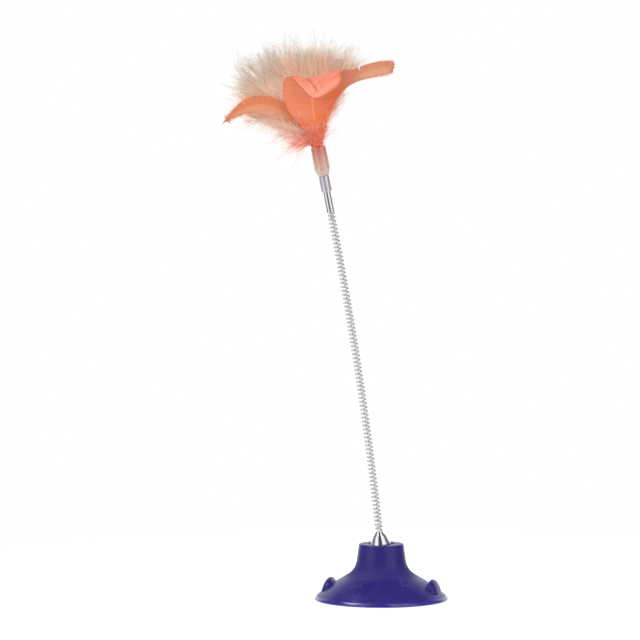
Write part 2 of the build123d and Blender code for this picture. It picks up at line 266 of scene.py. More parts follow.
# %% Floor
floor_shape = bmesh.new()
bmesh.ops.create_circle(floor_shape, cap_ends=True, segments=64, radius=0.4)
floor_mesh = bpy.data.meshes.new("floor")
floor_shape.to_mesh(floor_mesh)
floor_shape.free()
floor = bpy.data.objects.new("floor", floor_mesh)
floor.location.z = -0.0002
bpy.context.scene.collection.objects.link(floor)
floor_material, recipe = new_material("floor_white", Base_Color=(0.8, 0.8, 0.8, 1), Roughness=0.9)
camera_ray = recipe.node("ShaderNodeLightPath", None, None, "Is Camera Ray")
recipe.feed(recipe.shader.inputs["Emission Color"], (1, 1, 1, 1))
recipe.feed(recipe.shader.inputs["Emission Strength"], camera_ray * 0.45)
floor_mesh.materials.append(floor_material)

# %% [markdown]
# ## Putting a piece in the model
# A finished piece keeps its place in its mesh and its object at the origin, rides on one of the CAD
# model's bodies, and hides the CAD nodes that it stands for.

# %% Finish a piece
def add_piece(name, mesh, material, body, stands_for=()):
    """Links a mesh as a smooth piece of the toy."""
    made = bpy.data.objects.new(name, mesh)
    bpy.context.scene.collection.objects.link(made)
    mesh.materials.clear()
    mesh.materials.append(material)
    mesh.polygons.foreach_set("use_smooth", [True] * len(mesh.polygons))
    if body:
        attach(made, body)
    if stands_for:
        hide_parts(*stands_for)
    print(f"{name}: {len(mesh.polygons)} faces")
    return made


def to_mesh(shape, name):
    mesh = bpy.data.meshes.new(name)
    shape.to_mesh(mesh)
    shape.free()
    return mesh


def smoothed(mesh, levels):
    """The mesh with a Subdivision Surface worked in."""
    helper = bpy.data.objects.new("helper", mesh)
    bpy.context.scene.collection.objects.link(helper)
    modifier = helper.modifiers.new("smooth", "SUBSURF")
    modifier.levels = modifier.render_levels = levels
    modifier.uv_smooth = "NONE"
    bpy.context.view_layer.update()
    evaluated = helper.evaluated_get(bpy.context.evaluated_depsgraph_get())
    made = bpy.data.meshes.new_from_object(evaluated)
    bpy.data.objects.remove(helper)
    return made


def lathe(profile, place, lean, segments=64):
    """A turned shape: its profile, in millimetres of radius and height, spun round the leaning axis."""
    shape = bmesh.new()
    verts = [shape.verts.new((radius * mm, 0, up * mm)) for radius, up in profile]
    edges = [shape.edges.new(pair) for pair in zip(verts, verts[1:])]
    bmesh.ops.spin(shape, geom=[*verts, *edges], cent=(0, 0, 0), axis=(0, 0, 1), angle=math.tau,
                   steps=segments, use_merge=True)
    bmesh.ops.remove_doubles(shape, verts=shape.verts, dist=1e-7)
    bmesh.ops.recalc_face_normals(shape, faces=shape.faces)
    turn = Matrix.Translation(place) @ Matrix.Rotation(-lean, 4, "Y")
    bmesh.ops.transform(shape, matrix=turn, verts=shape.verts)
    return shape


# %% [markdown]
# ## The suction cup
# The cup is one soft moulding: a neck, a flaring skirt that ends in a thin lip, a hollow underside
# and two arched release tabs. Its body is a lathe shape. The tabs are small arches that are joined on with
# a Boolean, so that the cup stays one clean skin. The lip is painted lighter and bluer, a painted glow for
# light through the thin vinyl. Five faint four-pointed stars are moulded round the skirt as thin raised
# outlines. Each is an astroid curve laid on the skirt, painted paler as a painted highlight where light
# catches the raised lines, and has a turn of its own, mirrored from left to right. The vinyl is half
# glossy:
# duller in the fillet under the neck, and polished along the lip.

# %% A smooth line through points
def smooth_line(points, count):
    """Points on a smooth curve through a few given ones."""
    points = np.array(points, float)
    result = []
    for mark in np.linspace(0, len(points) - 1, count):
        i = min(int(mark), len(points) - 2)
        t = mark - i
        a, b = points[max(i - 1, 0)], points[i]
        c, d = points[i + 1], points[min(i + 2, len(points) - 1)]
        result.append(0.5 * (2 * b + (c - a) * t + (2 * a - 5 * b + 4 * c - d) * t * t
                             + (3 * b - a - 3 * c + d) * t ** 3))
    return np.array(result)


# %% Cup body
neck_top = [(0.0, 37.1), (8.9, 37.1), (9.25, 37.15), (9.4, 37.65), (9.8, 37.7), (14.5, 37.7), (15.0, 37.5)]
outside = smooth_line([(15.2, 36.9), (15.7, 33.0), (16.25, 29.0), (16.9, 25.2), (18.2, 21.4), (20.9, 18.2),
                       (25.4, 15.0), (30.9, 11.7), (36.3, 8.1), (40.5, 4.95), (43.4, 2.7)], 51)
lip = smooth_line([(43.75, 2.45), (44.35, 1.75), (44.85, 1.0), (45.0, 0.55), (44.75, 0.15), (44.3, 0.0)],
                  11)
underside = smooth_line([(42.4, 0.0), (41.4, 0.4), (36.0, 4.0), (25.4, 6.9), (12.0, 9.6), (0.0, 10.5)], 26)
cup_profile = [*neck_top, *map(tuple, outside), *map(tuple, lip), *map(tuple, underside)]
cup_shape = lathe(cup_profile, (0, 0, 0), 0.0, 128)

# %% Release tabs
tab_azimuth = math.radians(-11)
tab_middle, tab_half_span, tab_rise, tab_sunk = 36.0, 12.4, 8.4, 0.7
tab_half_thickness, tab_thinning, tab_lean, tab_roundness = 5.2, 1.9, 0.3, 0.7
skirt_height, skirt_radius, skirt_slope = 8.5, 31.0, 0.6


def tab_shape(turn):
    """An arched lug: a half round slab that stands across the skirt's slope, soft at its edges."""
    shape = bmesh.new()
    bmesh.ops.create_uvsphere(shape, u_segments=24, v_segments=16, radius=1.0)
    for vert in shape.verts:
        across, along, up = vert.co
        over = max(up, 0.0)
        thick = tab_half_thickness - tab_thinning * over
        thick *= math.copysign(abs(across) ** tab_roundness, across)
        radius = tab_middle + tab_lean * over + thick
        wall_middle = skirt_height - skirt_slope * (radius - skirt_radius)
        rise = tab_rise * up if up > 0 else tab_sunk * up
        vert.co = Vector((radius, tab_half_span * along, wall_middle + rise)) * mm
    bmesh.ops.rotate(shape, verts=shape.verts, cent=(0, 0, 0), matrix=Matrix.Rotation(turn, 3, "Z"))
    return to_mesh(shape, "tab")


def joined(base_mesh, other_meshes):
    """The base with the others joined to it as one closed skin."""
    base = bpy.data.objects.new("base_helper", base_mesh)
    bpy.context.scene.collection.objects.link(base)
    helpers = [base]
    for mesh in other_meshes:
        other = bpy.data.objects.new("tab_helper", mesh)
        bpy.context.scene.collection.objects.link(other)
        modifier = base.modifiers.new("join", "BOOLEAN")
        modifier.operation, modifier.solver, modifier.object = "UNION", "EXACT", other
        helpers.append(other)
    bpy.context.view_layer.update()
    made = bpy.data.meshes.new_from_object(base.evaluated_get(bpy.context.evaluated_depsgraph_get()))
    for helper in helpers:
        bpy.data.objects.remove(helper)
    return made


tabs = [tab_shape(tab_azimuth), tab_shape(tab_azimuth + math.pi)]
cup_mesh = joined(to_mesh(cup_shape, "cup"), tabs)

# %% Vinyl
vinyl, recipe = new_material("cup_vinyl", Roughness=0.3, Specular_IOR_Level=0.37, Coat_Roughness=0.04,
                             Coat_IOR=1.8)
place = object_place(recipe)
mottle = recipe.noise(place, 60.0, 4.0)
colour = recipe.mix(recipe.spread(mottle, 0.35, 0.7), paint(39, 30, 112), paint(45, 34, 121))
flat_place = recipe.node("ShaderNodeVectorMath", {"operation": "MULTIPLY"}, {0: place, 1: (1.0, 1.0, 0.0)})
from_axis = recipe.node("ShaderNodeVectorMath", {"operation": "LENGTH"}, {0: flat_place}, 1)
# The lip is painted lighter and bluer than the skirt: a painted glow for light that shows through the thin
# vinyl there.
colour = recipe.mix(recipe.spread(from_axis, 0.0425, 0.0443), colour, paint(54, 40, 146))
polished_lip = recipe.spread(from_axis, 0.043, 0.0443, 0.0, 0.16)
dull_fillet = recipe.spread(from_axis, 0.0165, 0.018) * recipe.spread(from_axis, 0.021, 0.026, 0.3, 0.0)
rough = recipe.spread(mottle, 0.3, 0.7, 0.22, 0.34) - polished_lip + dull_fillet
recipe.feed(recipe.shader.inputs["Roughness"], rough)
recipe.feed(recipe.shader.inputs["Coat Weight"], recipe.spread(from_axis, 0.0434, 0.0438, 0.0, 0.55))
recipe.feed(recipe.shader.inputs["Base Color"], colour)
recipe.feed(recipe.shader.inputs["Normal"], recipe.bump(recipe.noise(place, 900.0), 0.04, 0.0002))
add_piece("suction_cup_skin", cup_mesh, vinyl, "base", ["suction_cup"])

# %% Moulded stars
star_data = bpy.data.curves.new("stars", "CURVE")
star_data.dimensions, star_data.bevel_depth, star_data.bevel_resolution = "3D", 0.2 * mm, 1
star_middle, star_reach, first_star, star_steps = 27.9, 5.7, math.radians(-54), 56
star_spins = np.radians([-25, -76, 0, 76, 25])
for number, spin in enumerate(star_spins):
    spline = star_data.splines.new("POLY")
    spline.points.add(star_steps - 1)
    spline.use_cyclic_u = True
    for step, point in enumerate(spline.points):
        turn = math.tau * step / star_steps
        across, outward = math.cos(turn) ** 3, math.sin(turn) ** 3
        radius = star_middle + star_reach * (outward * math.cos(spin) + across * math.sin(spin))
        aside = star_reach * (across * math.cos(spin) - outward * math.sin(spin))
        azimuth = first_star + math.tau * number / len(star_spins) + aside / radius
        height = np.interp(radius, outside[:, 0], outside[:, 1])
        point.co = (*(Vector((radius * math.cos(azimuth), radius * math.sin(azimuth), height)) * mm), 1)
helper = bpy.data.objects.new("helper", star_data)
bpy.context.scene.collection.objects.link(helper)
bpy.context.view_layer.update()
star_mesh = bpy.data.meshes.new_from_object(helper.evaluated_get(bpy.context.evaluated_depsgraph_get()))
bpy.data.objects.remove(helper)
# The star lines are painted paler than the skirt: a painted highlight for light catching the raised
# outlines.
ridge_highlight_vinyl = new_material("ridge_highlight_vinyl", Base_Color=paint(78, 68, 146), Roughness=0.4)[0]
add_piece("cup_star_lines", star_mesh, ridge_highlight_vinyl, "base", [])

# %% [markdown]
# ## Metal parts
# The cone, the pin and the stud keep their CAD shape. Polished metal needs little: a bright base, low
# roughness and the faint rings that turning leaves. The wire, the ferrule and the stud are made in the
# same way, only rougher.

# %% Metals
def metal(name, colour, roughness, ring_height):
    material, recipe = new_material(name, Base_Color=colour, Metallic=1.0, Roughness=roughness)
    place = object_place(recipe)
    rings = recipe.noise(recipe.node("ShaderNodeVectorMath", {"operation": "MULTIPLY"},
                                     {0: place, 1: (40.0, 40.0, 6000.0)}), 1.0)
    recipe.feed(recipe.shader.inputs["Roughness"], rings * 0.08 + (roughness - 0.04))
    recipe.feed(recipe.shader.inputs["Normal"], recipe.bump(rings, 0.15, ring_height))
    return material


cone_metal = metal("cone_chrome", paint(244, 242, 246), 0.1, 0.00002)
spring_metal = metal("spring_steel", paint(242, 239, 235), 0.32, 0.000005)
sleeve_metal = metal("sleeve_steel", paint(238, 237, 240), 0.08, 0.00001)
ferrule_metal = metal("ferrule_aluminium", paint(236, 230, 242), 0.44, 0.00001)
stud_metal = metal("stud_steel", paint(200, 200, 205), 0.35, 0.00001)
for node, material in {"cone": cone_metal, "sleeve": sleeve_metal, "neck_stud": stud_metal}.items():
    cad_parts[node].data.materials[0] = material

# %% [markdown]
# ## The spring
# Spinning one small circle with a push upwards winds a straight coil, the way a spring is wound on a rod.
# Its vertices are then carried onto the wand's curved axis. The wire is drawn a little heavier than in the
# CAD model, as it looks in the photograph. The spring bends about two joints, so it is made as a lower and
# an upper half.

# %% Wind the spring
wire_radius, coil_radius, steps_per_turn = 0.58 * mm, 2.14 * mm, 28


def coil(name, first_turn, turns):
    """Some turns of the spring, wound from a circle of wire that stands upright beside the axis."""
    shape = bmesh.new()
    wire = bmesh.ops.create_circle(shape, segments=10, radius=wire_radius)["verts"]
    upright = Matrix.Rotation(math.pi / 2, 4, "X")
    start = Matrix.Translation((coil_radius, 0, first_turn * spring_pitch)) @ upright
    bmesh.ops.transform(shape, matrix=start, verts=wire)
    bmesh.ops.spin(shape, geom=[*shape.verts, *shape.edges], cent=(0, 0, 0), axis=(0, 0, 1),
                   dvec=(0, 0, spring_pitch / steps_per_turn), angle=math.tau * turns,
                   steps=steps_per_turn * turns)
    bmesh.ops.holes_fill(shape, edges=[edge for edge in shape.edges if edge.is_boundary])
    bmesh.ops.recalc_face_normals(shape, faces=shape.faces)
    for vert in shape.verts:
        point, lean = wand_place(vert.co.z)
        vert.co = point + right_of(lean) * vert.co.x + backwards * vert.co.y
    return to_mesh(shape, name)


half = spring_turns // 2
for name, first, bodies, ends in (
    ("spring_lower_half", 0, ("base", "spring"), (0, 0.5)),
    ("spring_upper_half", half, ("spring", "head"), (0.5, 1)),
):
    piece = add_piece(name, coil(name, first, half), spring_metal, None, ["spring"])
    start, end = (wand_place(spring_length * share)[0] for share in ends)
    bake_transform(piece)

# %% [markdown]
# ## Ferrule and tube
# The ferrule is a crimped aluminium tube with a fine knurl. A grid of small diamonds pressed into a
# cylinder is the knurl's real shape: every second vertex is sunk a little. The tube is clear vinyl, shrunk
# at its foot to a spigot that sits in the ferrule, and the quills show through its wall.

# %% Ferrule
knurl_rows, knurl_columns, knurl_depth = 9, 20, 0.22
ferrule_low, ferrule_high, ferrule_radius = -30.8, -20.0, 3.5
knurl_low, knurl_height = ferrule_low + 0.7, ferrule_high - ferrule_low - 1.4
ferrule_profile = [(2.65, ferrule_low), (3.2, ferrule_low), (3.45, ferrule_low + 0.3)]
ferrule_profile += [(ferrule_radius, knurl_low + knurl_height * i / knurl_rows)
                    for i in range(knurl_rows + 1)]
ferrule_profile += [(3.45, ferrule_high - 0.3), (3.2, ferrule_high), (2.65, ferrule_high)]
ferrule_shape = lathe(ferrule_profile, (0, 0, 0), 0.0, knurl_columns)
for vert in ferrule_shape.verts:
    row = round((vert.co.z / mm - knurl_low) / knurl_height * knurl_rows)
    column = round(math.atan2(vert.co.y, vert.co.x) / math.tau * knurl_columns)
    if 0 < row < knurl_rows and (row + column) % 2:
        vert.co.xy *= 1 - knurl_depth / ferrule_radius
turn = Matrix.Translation(mouth) @ Matrix.Rotation(-top_lean, 4, "Y")
bmesh.ops.transform(ferrule_shape, matrix=turn, verts=ferrule_shape.verts)
add_piece("ferrule_knurled", to_mesh(ferrule_shape, "ferrule_knurled"), ferrule_metal, "head",
          ["ferrule"])

# %% Tube
tube_profile = [
    (2.5, -24.9), (2.55, -20.3), (2.9, -20.1), (3.5, -19.8), (3.9, -19.0), (4.75, -17.0), (5.25, -15.4),
    (5.4, -13.8), (5.3, -8.0), (5.15, -3.0), (5.2, -0.4), (5.1, 0.0), (4.65, 0.0), (4.5, -0.4),
    (4.5, -13.8), (4.2, -14.9),
]
tube_mesh = smoothed(to_mesh(lathe(tube_profile, mouth, top_lean, 32), "tube"), 1)
tube_vinyl, recipe = new_material("tube_vinyl", Roughness=0.25, Alpha=0.7, Coat_Weight=1.0, Coat_IOR=2.1,
                                   Coat_Roughness=0.12)
place = object_place(recipe)
cloud = recipe.noise(place, 180.0, 3.0)
up_tube = axis_of(recipe, place, "Z") + cloud * 0.003 - 0.0015
vinyl_tone = recipe.mix(recipe.spread(up_tube, 0.288, 0.294), paint(222, 200, 184), paint(230, 186, 166))
vinyl_tone = recipe.mix(recipe.spread(up_tube, 0.295, 0.305), vinyl_tone, paint(228, 122, 110))
recipe.feed(recipe.shader.inputs["Base Color"], vinyl_tone)
recipe.feed(recipe.shader.inputs["Alpha"], recipe.spread(cloud, 0.3, 0.7, 0.54, 0.66))
add_piece("feather_tube_clear", tube_mesh, tube_vinyl, "head", ["feather_tube"])
glue, recipe = new_material("glue", Roughness=0.3)
cloud = recipe.noise(object_place(recipe), 300.0)
recipe.feed(recipe.shader.inputs["Base Color"],
            recipe.mix(cloud, paint(232, 180, 150), paint(236, 196, 170)))
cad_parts["glue_plug"].data.materials[0] = glue

# %% Quills in the tube
quill_horn, recipe = new_material("quill_horn", Roughness=0.4)
up_quill = recipe.spread(axis_of(recipe, object_place(recipe), "Z"), 0.292, 0.304)
recipe.feed(recipe.shader.inputs["Base Color"],
            recipe.mix(up_quill, paint(238, 150, 84), paint(226, 76, 60)))
quill_middle, quill_length = -5.5, 15 * mm
quills = bmesh.new()
for right, back in ((-1.6, -2.2), (-0.2, -3.1), (1.8, -2.0), (-2.8, 0.2), (0.6, -0.6)):
    made = bmesh.ops.create_cone(quills, cap_ends=True, segments=10, radius1=0.6 * mm, radius2=1.2 * mm,
                                 depth=quill_length)["verts"]
    stand = Matrix.Translation(at_mouth(right, back, quill_middle)) @ Matrix.Rotation(-top_lean, 4, "Y")
    bmesh.ops.transform(quills, matrix=stand, verts=made)
add_piece("feather_quills", to_mesh(quills, "quills"), quill_horn, "head", [])

# %% [markdown]
# ## Feather vanes
# A vane is a thin sheet of barbs that leave the shaft in a V. Here each row of the sheet is one barb line,
# from the left edge over the shaft to the right edge, so a split between two barbs is a split along a row.
# A grid is laid over a few such rows, smoothed, and then opened along some of its rows near the edges.

# %% Sheets of barbs
chance = np.random.default_rng(11)


def sheet_of_rows(rows):
    """A mesh grid whose rows go through the given points, with the way across and along as its UV map."""
    across, along = len(rows[0]) - 1, len(rows) - 1
    shape = bmesh.new()
    shape.loops.layers.uv.new("UVMap")
    bmesh.ops.create_grid(shape, x_segments=across, y_segments=along, size=1.0, calc_uvs=True)
    for vert in shape.verts:
        column, row = round((vert.co.x + 1) / 2 * across), round((vert.co.y + 1) / 2 * along)
        vert.co = at_mouth(*rows[row][column])
    return smoothed(to_mesh(shape, "rows"), 3)


def split_barbs(mesh, splits, reach, opening):
    """Opens the sheet along some barb lines, from its edges inwards."""
    shape = bmesh.new()
    shape.from_mesh(mesh)
    uv = shape.loops.layers.uv.active
    where = {}
    for face in shape.faces:
        for loop in face.loops:
            where[loop.vert.index] = tuple(loop[uv].uv)
    levels = sorted({round(place[1], 4) for place in where.values()})
    chosen, whole_rows = {}, 3
    for side in (-1, 1):
        picks = chance.choice(len(levels) - 2 * whole_rows, size=splits, replace=False) + whole_rows
        for pick in picks:
            chosen[(side, levels[pick])] = 1 - reach * chance.uniform(0.4, 1.0)
    cuts = []
    for edge in shape.edges:
        first, second = (where[vert.index] for vert in edge.verts)
        if abs(first[1] - second[1]) < 1e-4:
            side = 1 if first[0] + second[0] > 1 else -1
            start = chosen.get((side, round(first[1], 4)))
            if start is not None and min(abs(first[0] - 0.5), abs(second[0] - 0.5)) * 2 > start - 1e-6:
                cuts.append(edge)
    bmesh.ops.split_edges(shape, edges=cuts)
    moves = []
    for vert in shape.verts:
        if not vert.is_boundary:
            continue
        loop = vert.link_loops[0]
        u, v = loop[uv].uv
        side = 1 if u > 0.5 else -1
        start = chosen.get((side, round(v, 4)))
        if start is None or abs(u - 0.5) * 2 <= start:
            continue
        centre = sum((loop_face.face.calc_center_median() for loop_face in vert.link_loops), Vector())
        centre /= len(vert.link_loops)
        share = (abs(u - 0.5) * 2 - start) / (1 - start)
        towards = centre - vert.co
        if towards.length > 0:
            moves.append((vert, towards.normalized() * opening * mm * share))
    for vert, move in moves:
        vert.co += move
    shape.normal_update()
    shape.to_mesh(mesh)
    shape.free()
    return mesh


def blade_rows(shaft, left, right, sweep, cup):
    """Rows of a narrow vane: its barbs sweep towards the shaft's tip and are cupped to the viewer."""
    rows = []
    points = [Vector(point) for point in shaft]
    for i, point in enumerate(points):
        ahead = (points[min(i + 1, len(points) - 1)] - points[max(i - 1, 0)]).normalized()
        side = ahead.cross(Vector((0, 1, 0))).normalized() * -1
        row = []
        for across in (-1, -0.6, -0.25, 0, 0.25, 0.6, 1):
            width = (left if across < 0 else right)[i]
            place = point + side * (width * across) + ahead * (sweep * width * abs(across))
            place.y -= cup * width * across * across
            row.append(place)
        rows.append(row)
    return rows


def vane_material(name, shades, length, curl=None, corner=None):
    """Dyed vane: its foot, its two halves and its tip have a shade each, with streaks along the barbs."""
    material, recipe = new_material(name, Roughness=0.62, Sheen_Weight=0.15, Sheen_Roughness=0.5)
    uv = recipe.node("ShaderNodeUVMap", {"uv_map": "UVMap"})
    across, along = axis_of(recipe, uv, "X"), axis_of(recipe, uv, "Y")
    from_shaft = (across - 0.5).math("ABSOLUTE", across - 0.5) * 2
    foot, left, right, tip, streaks = (paint(*shade) for shade in shades)
    barbs = recipe.node("ShaderNodeCombineXYZ", None,
                        {0: across * 1.6, 1: along * length - from_shaft * 1.5})
    broad, fine = recipe.noise(barbs, 1.1, 3.0), recipe.noise(barbs, 5.0, 2.0)
    base = recipe.mix(recipe.spread(across, 0.35, 0.65), left, right)
    base = recipe.mix(recipe.spread(along + broad * 0.1, 0.12, 0.34), foot, base)
    base = recipe.mix(recipe.spread(along + broad * 0.1, 0.85, 1.05), base, tip)
    if curl:
        aslant = recipe.node("ShaderNodeCombineXYZ", None, {0: across * 2.0 + along * 5.0, 1: along})
        folds = recipe.noise(aslant, 2.2, 2.0)
        curled = recipe.mix(recipe.spread(folds, 0.44, 0.66, 0.0, 0.8), paint(*curl), paint(226, 104, 76))
        base = recipe.mix(recipe.spread(along, 0.6, 0.68), base, curled)
    base = recipe.mix(recipe.spread(broad, 0.42, 0.75, 0.0, 0.55), base, streaks)
    base = recipe.mix(recipe.spread(fine, 0.4, 0.8, 0.0, 0.3), base, foot)
    if curl:
        # A thin dark line on the curl is a painted shadow where the curl folds over.
        aside = across - 0.42 - (along - 0.75) * 0.9
        crease_shadow = recipe.spread(aside.math("ABSOLUTE", aside), 0.005, 0.03, 0.7, 0.0)
        crease_shadow = crease_shadow * recipe.spread(along, 0.72, 0.77) * recipe.spread(along, 0.9, 0.95, 1.0, 0.0)
        base = recipe.mix(crease_shadow, base, paint(176, 84, 62))
    if corner:
        beside = (across - 1.0).math("POWER", across - 1.0, 2.0)
        near = beside + (along - 0.6).math("POWER", along - 0.6, 2.0) * 3.0
        base = recipe.mix(recipe.spread(near, 0.02, 0.09, 0.75, 0.0), base, paint(*corner))
    shaft = recipe.spread(from_shaft, 0.02, 0.04, 1.0, 0.0)
    if curl:
        shaft = shaft * recipe.spread(along, 0.56, 0.6, 1.0, 0.0)
    base = recipe.mix(shaft * 0.8, base, paint(240, 168, 100))
    recipe.feed(recipe.shader.inputs["Base Color"], base)
    recipe.feed(recipe.shader.inputs["Normal"], recipe.bump(fine + broad * 2.0, 0.5, 0.0004))
    return material


def edge_table(mesh):
    """A sheet's points as rows along and columns across, in millimetres from the mouth."""
    uv, found, marks = mesh.uv_layers.active.data, {}, 3200
    for loop in mesh.loops:
        u, v = uv[loop.index].uv
        found[(round(v * marks), round(u * marks))] = mesh.vertices[loop.vertex_index].co - mouth
    columns = len({key[1] for key in found})
    axes = np.array([right_of(top_lean), backwards, up_of(top_lean)])
    return (np.array([found[key] for key in sorted(found)]) @ axes.T / mm).reshape(-1, columns, 3)


# %% Front feather
front_rows = [
    [(-1.6, -3, 0), (-0.9, -2.8, 0), (-0.2, -2.7, -1), (1.2, -2.8, 0), (2.8, -3, 0)],
    [(-4.2, -5, 9.5), (-2.1, -4.5, 8), (0.3, -4.0, 7), (3.2, -4.4, 7.6), (6.4, -5, 8.2)],
    [(-9.8, -8, 18.5), (-4.6, -7, 17), (1.2, -6, 15), (5.6, -6.6, 16.4), (10.4, -7.6, 18.4)],
    [(-14.6, -9.5, 26.5), (-6.4, -8.2, 25.4), (1.7, -7.1, 23), (8, -7.8, 24.2), (15.2, -9, 26)],
    [(-16.4, -9.5, 34.5), (-7.2, -8.4, 33), (2.2, -7.5, 31), (11.4, -7.8, 31.4), (21.2, -8.5, 32)],
    [(-16.0, -9, 41.4), (-7.5, -8.6, 40.6), (3.2, -8.6, 37), (15, -7.5, 36.5), (28, -7, 37.2)],
    [(-14.8, -10, 47.0), (-8.0, -9.8, 49.0), (3.6, -10.5, 43.0), (17.4, -9, 44.5), (39.5, -6.5, 44.6)],
    [(-11.2, -11.5, 51.4), (-5.8, -12, 52.6), (4.4, -13.5, 46.2), (15.6, -13.5, 51.6), (24.0, -13, 49.6)],
    [(-9.0, -12.8, 49.6), (-3.0, -15.5, 47.2), (4.4, -19, 44.0), (15.5, -19, 46.2), (24.4, -17, 43.5)],
    [(-7.4, -13.8, 48.4), (-2.0, -17, 42.8), (3.8, -22.3, 38.4), (13.4, -21.5, 39.6), (21.8, -19, 38.8)],
    [(-6.4, -14.3, 47.4), (-1.4, -18, 40.0), (2.8, -24, 32.8), (10.0, -23, 33.8), (17.4, -20.5, 36.4)],
]
front_mesh = sheet_of_rows(front_rows)
front_table = edge_table(front_mesh)
front_shades = [(228, 98, 60), (236, 134, 96), (232, 120, 70), (240, 146, 112), (240, 156, 116)]
front_vane = vane_material("front_vane", front_shades, 26.0, (250, 160, 134), (214, 130, 108))
add_piece("front_feather_vane", split_barbs(front_mesh, 5, 0.2, 0.3), front_vane, "head", ["front_feather"])

# %% Side feathers
left_shaft = [(-2.7, 0, -1), (-5.3, -1, 9.5), (-10.0, -2.5, 17.4), (-17.4, -3.5, 27.6), (-28.3, -4.2, 34.4),
              (-37.7, -4.2, 36.0), (-47.0, -3.6, 34.0), (-54.0, -3, 30.8), (-58.2, -2.5, 28.8)]
left_blade = (left_shaft, [0.8, 3, 5.5, 7, 6.2, 4.6, 2.6, 1.6, 0.3],
              [0.8, 3, 5, 6.4, 6.6, 6.0, 3.6, 1.8, 0.3], 0.5, 0.12)
left_mesh = sheet_of_rows(blade_rows(*left_blade))
left_table = edge_table(left_mesh)
left_shades = [(204, 90, 48), (222, 156, 122), (224, 128, 82), (218, 120, 82), (232, 156, 112)]
left_vane = vane_material("left_vane", left_shades, 30.0)
add_piece("left_feather_vane", split_barbs(left_mesh, 9, 0.55, 0.5), left_vane, "head", ["left_feather"])
right_shaft = [(1.9, -1.9, -1), (4.2, -2, 9), (7.4, -2.2, 19), (13, -2.6, 29.6), (26.8, -2.2, 39.4),
               (37, -1.6, 42.6), (45.9, -1, 43.6), (53, -0.5, 43.6), (57.4, 0, 43.0), (59.6, 0, 42.6)]
right_blade = (right_shaft, [0.8, 1.6, 3, 4, 4.6, 5.0, 5.0, 4.8, 4.2, 3.0],
               [0.8, 1.2, 1.6, 2.0, 2.6, 4.2, 5.0, 5.0, 3.4, 0.9], 0.34, 0.1)
right_mesh = sheet_of_rows(blade_rows(*right_blade))
right_table = edge_table(right_mesh)
right_shades = [(224, 146, 106), (216, 134, 98), (218, 160, 128), (208, 126, 100), (226, 156, 122)]
right_vane = vane_material("right_vane", right_shades, 30.0)
add_piece("right_feather_vane", split_barbs(right_mesh, 7, 0.5, 0.5), right_vane, "head", ["right_feather"])

# %% [markdown]
# ## Down
# The plumes are marabou: a soft shaft whose long barbs carry hair-thin fluff, so they look like a haze with
# wisps at its rim. Each barb is a spline of its own here, a thin ribbon that tapers to nothing, and its
# barbules are shorter ones. Neighbouring barbs lean to a common tip, which draws the rim into wisps.

# %% Ribbons
def unit(vectors):
    return vectors / np.maximum(np.linalg.norm(vectors, axis=-1, keepdims=True), 1e-9)


def ribbons(name, groups):
    """A mesh of thin ribbons, one a line. A group is its lines, their width and whether they taper."""
    origin = np.array(mouth)
    axes = np.array([right_of(top_lean), backwards, up_of(top_lean)]) * mm
    shape = bmesh.new()
    for lines, width, tapered in groups:
        data = bpy.data.curves.new(name, "CURVE")
        data.dimensions, data.extrude = "3D", width * mm / 2
        count = lines.shape[1]
        world = origin + lines @ axes
        flat = np.concatenate([world, np.ones((*world.shape[:2], 1))], -1).reshape(len(lines), -1)
        radius = 1.0 - 0.92 * np.linspace(0, 1, count)
        tilts = np.random.default_rng(5).uniform(0, math.pi, (len(lines), 1)) * np.ones((1, count))
        for points, tilt in zip(flat, tilts):
            spline = data.splines.new("POLY")
            spline.points.add(count - 1)
            spline.points.foreach_set("co", points)
            if tapered:
                spline.points.foreach_set("radius", radius)
                spline.points.foreach_set("tilt", tilt)
        helper = bpy.data.objects.new("helper", data)
        bpy.context.scene.collection.objects.link(helper)
        bpy.context.view_layer.update()
        mesh = bpy.data.meshes.new_from_object(helper.evaluated_get(bpy.context.evaluated_depsgraph_get()))
        bpy.data.objects.remove(helper)
        shape.from_mesh(mesh)
    return to_mesh(shape, name)


# %% Barbs of a plume
def plume_barbs(shaft, rng, count, length, opening, clump, droop=0.0, flat=0.6, first=0.1, waver=0.2,
                group=6):
    """The centre lines of one shaft's barbs, as an array of barb by point by coordinate, in millimetres.
    The opening is their angle to the shaft. The clump is how far a group's tips are drawn to one tip."""
    samples, steps = 200, 8
    line = smooth_line(shaft, samples)
    ahead_all = unit(np.gradient(line, axis=0))
    share = rng.uniform(first, 1.0, count)
    index = (share * (samples - 1)).astype(int)
    root, ahead = line[index], ahead_all[index]
    across = unit(np.cross(ahead, [0.0, 1.0, 0.0]))
    normal = unit(np.cross(across, ahead))
    turn = np.where(rng.random(count) < 0.5, 0.0, np.pi) + rng.normal(0, flat, count)
    side = across * np.cos(turn)[:, None] + normal * np.sin(turn)[:, None]
    angles = opening * rng.uniform(0.5, 1.3, count) * (1.15 - 0.7 * share)
    reach = length * (0.6 + 0.4 * np.sin(np.pi * share ** 0.7)) * rng.uniform(0.6, 1.2, count)
    points = np.zeros((count, steps + 1, 3))
    points[:, 0] = root
    wave = rng.uniform(0, 2 * np.pi, (count, 2))
    for k in range(steps):
        t = (k + 0.5) / steps
        angle = angles * (1 - 0.35 * t)
        way = ahead * np.cos(angle)[:, None] + side * np.sin(angle)[:, None]
        way = way + waver * (across * np.sin(wave[:, :1] + 5 * t) + normal * np.sin(wave[:, 1:] + 6 * t))
        way[:, 2] -= droop * t
        points[:, k + 1] = points[:, k] + unit(way) * (reach / steps)[:, None]
    order = np.argsort(share + 0.05 * rng.random(count) + (np.cos(turn) > 0) * 2)
    pull = (np.linspace(0, 1, steps + 1) ** 2)[None, :, None] * clump
    for members in np.array_split(order, max(count // group, 1)):
        guide = points[members[0]][None]
        points[members] = points[members] * (1 - pull) + guide * pull
    return points


def all_barbs(shafts, rng, **how):
    return np.concatenate([plume_barbs(shaft, rng, **how) for shaft in shafts])


